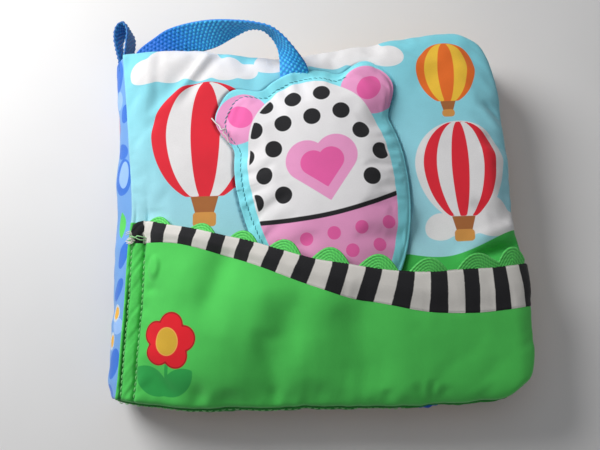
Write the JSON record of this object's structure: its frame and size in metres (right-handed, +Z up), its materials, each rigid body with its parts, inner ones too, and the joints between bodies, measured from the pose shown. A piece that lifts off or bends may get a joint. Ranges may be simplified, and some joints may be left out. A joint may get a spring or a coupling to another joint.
{
  "type": "cloth book",
  "caption": "Padded cloth book with a sewn spine, a front pocket that holds a stuffed animal on a webbing tether, and a hang loop; both covers open.",
  "frame": {"origin": "middle of the back cover's outer face, which the closed book lies on", "axes": "+X from the spine to the fore-edge, +Y to the book's upper edge, +Z up through the front cover"},
  "size_m": [0.2044, 0.2004, 0.0529],
  "materials": {
    "back_cover": "woven polyester, matte, printed",
    "pages": "woven polyester, matte, printed, padded",
    "spine": "woven polyester, printed with small flowers",
    "hang_loop": "woven webbing",
    "front_cover": "woven polyester, printed, padded",
    "pocket": "woven polyester, printed",
    "pocket_binding": "striped cloth",
    "rickrack": "woven rick-rack braid",
    "toy": "printed cloth, stuffed",
    "toy_tether": "woven webbing"
  },
  "bodies": {
    "block": {"pages": "pages", "spine": "spine", "hang_loop": "hang_loop"},
    "front": {"front_cover": "front_cover", "pocket": "pocket", "pocket_binding": "pocket_binding", "rickrack": "rickrack", "toy": "toy", "toy_tether": "toy_tether"},
    "back": {"back_cover": "back_cover"}
  },
  "joints": [
    {"name": "front_cover_hinge", "type": "hinge", "parent": "block", "child": "front", "pos_m": [-0.098, 0, 0.02855], "axis": [0, -1, 0], "range_deg": [0, 180]},
    {"name": "back_cover_hinge", "type": "hinge", "parent": "block", "child": "back", "pos_m": [-0.098, 0, 0.00425], "axis": [0, 1, 0], "range_deg": [0, 170]}
  ]
}
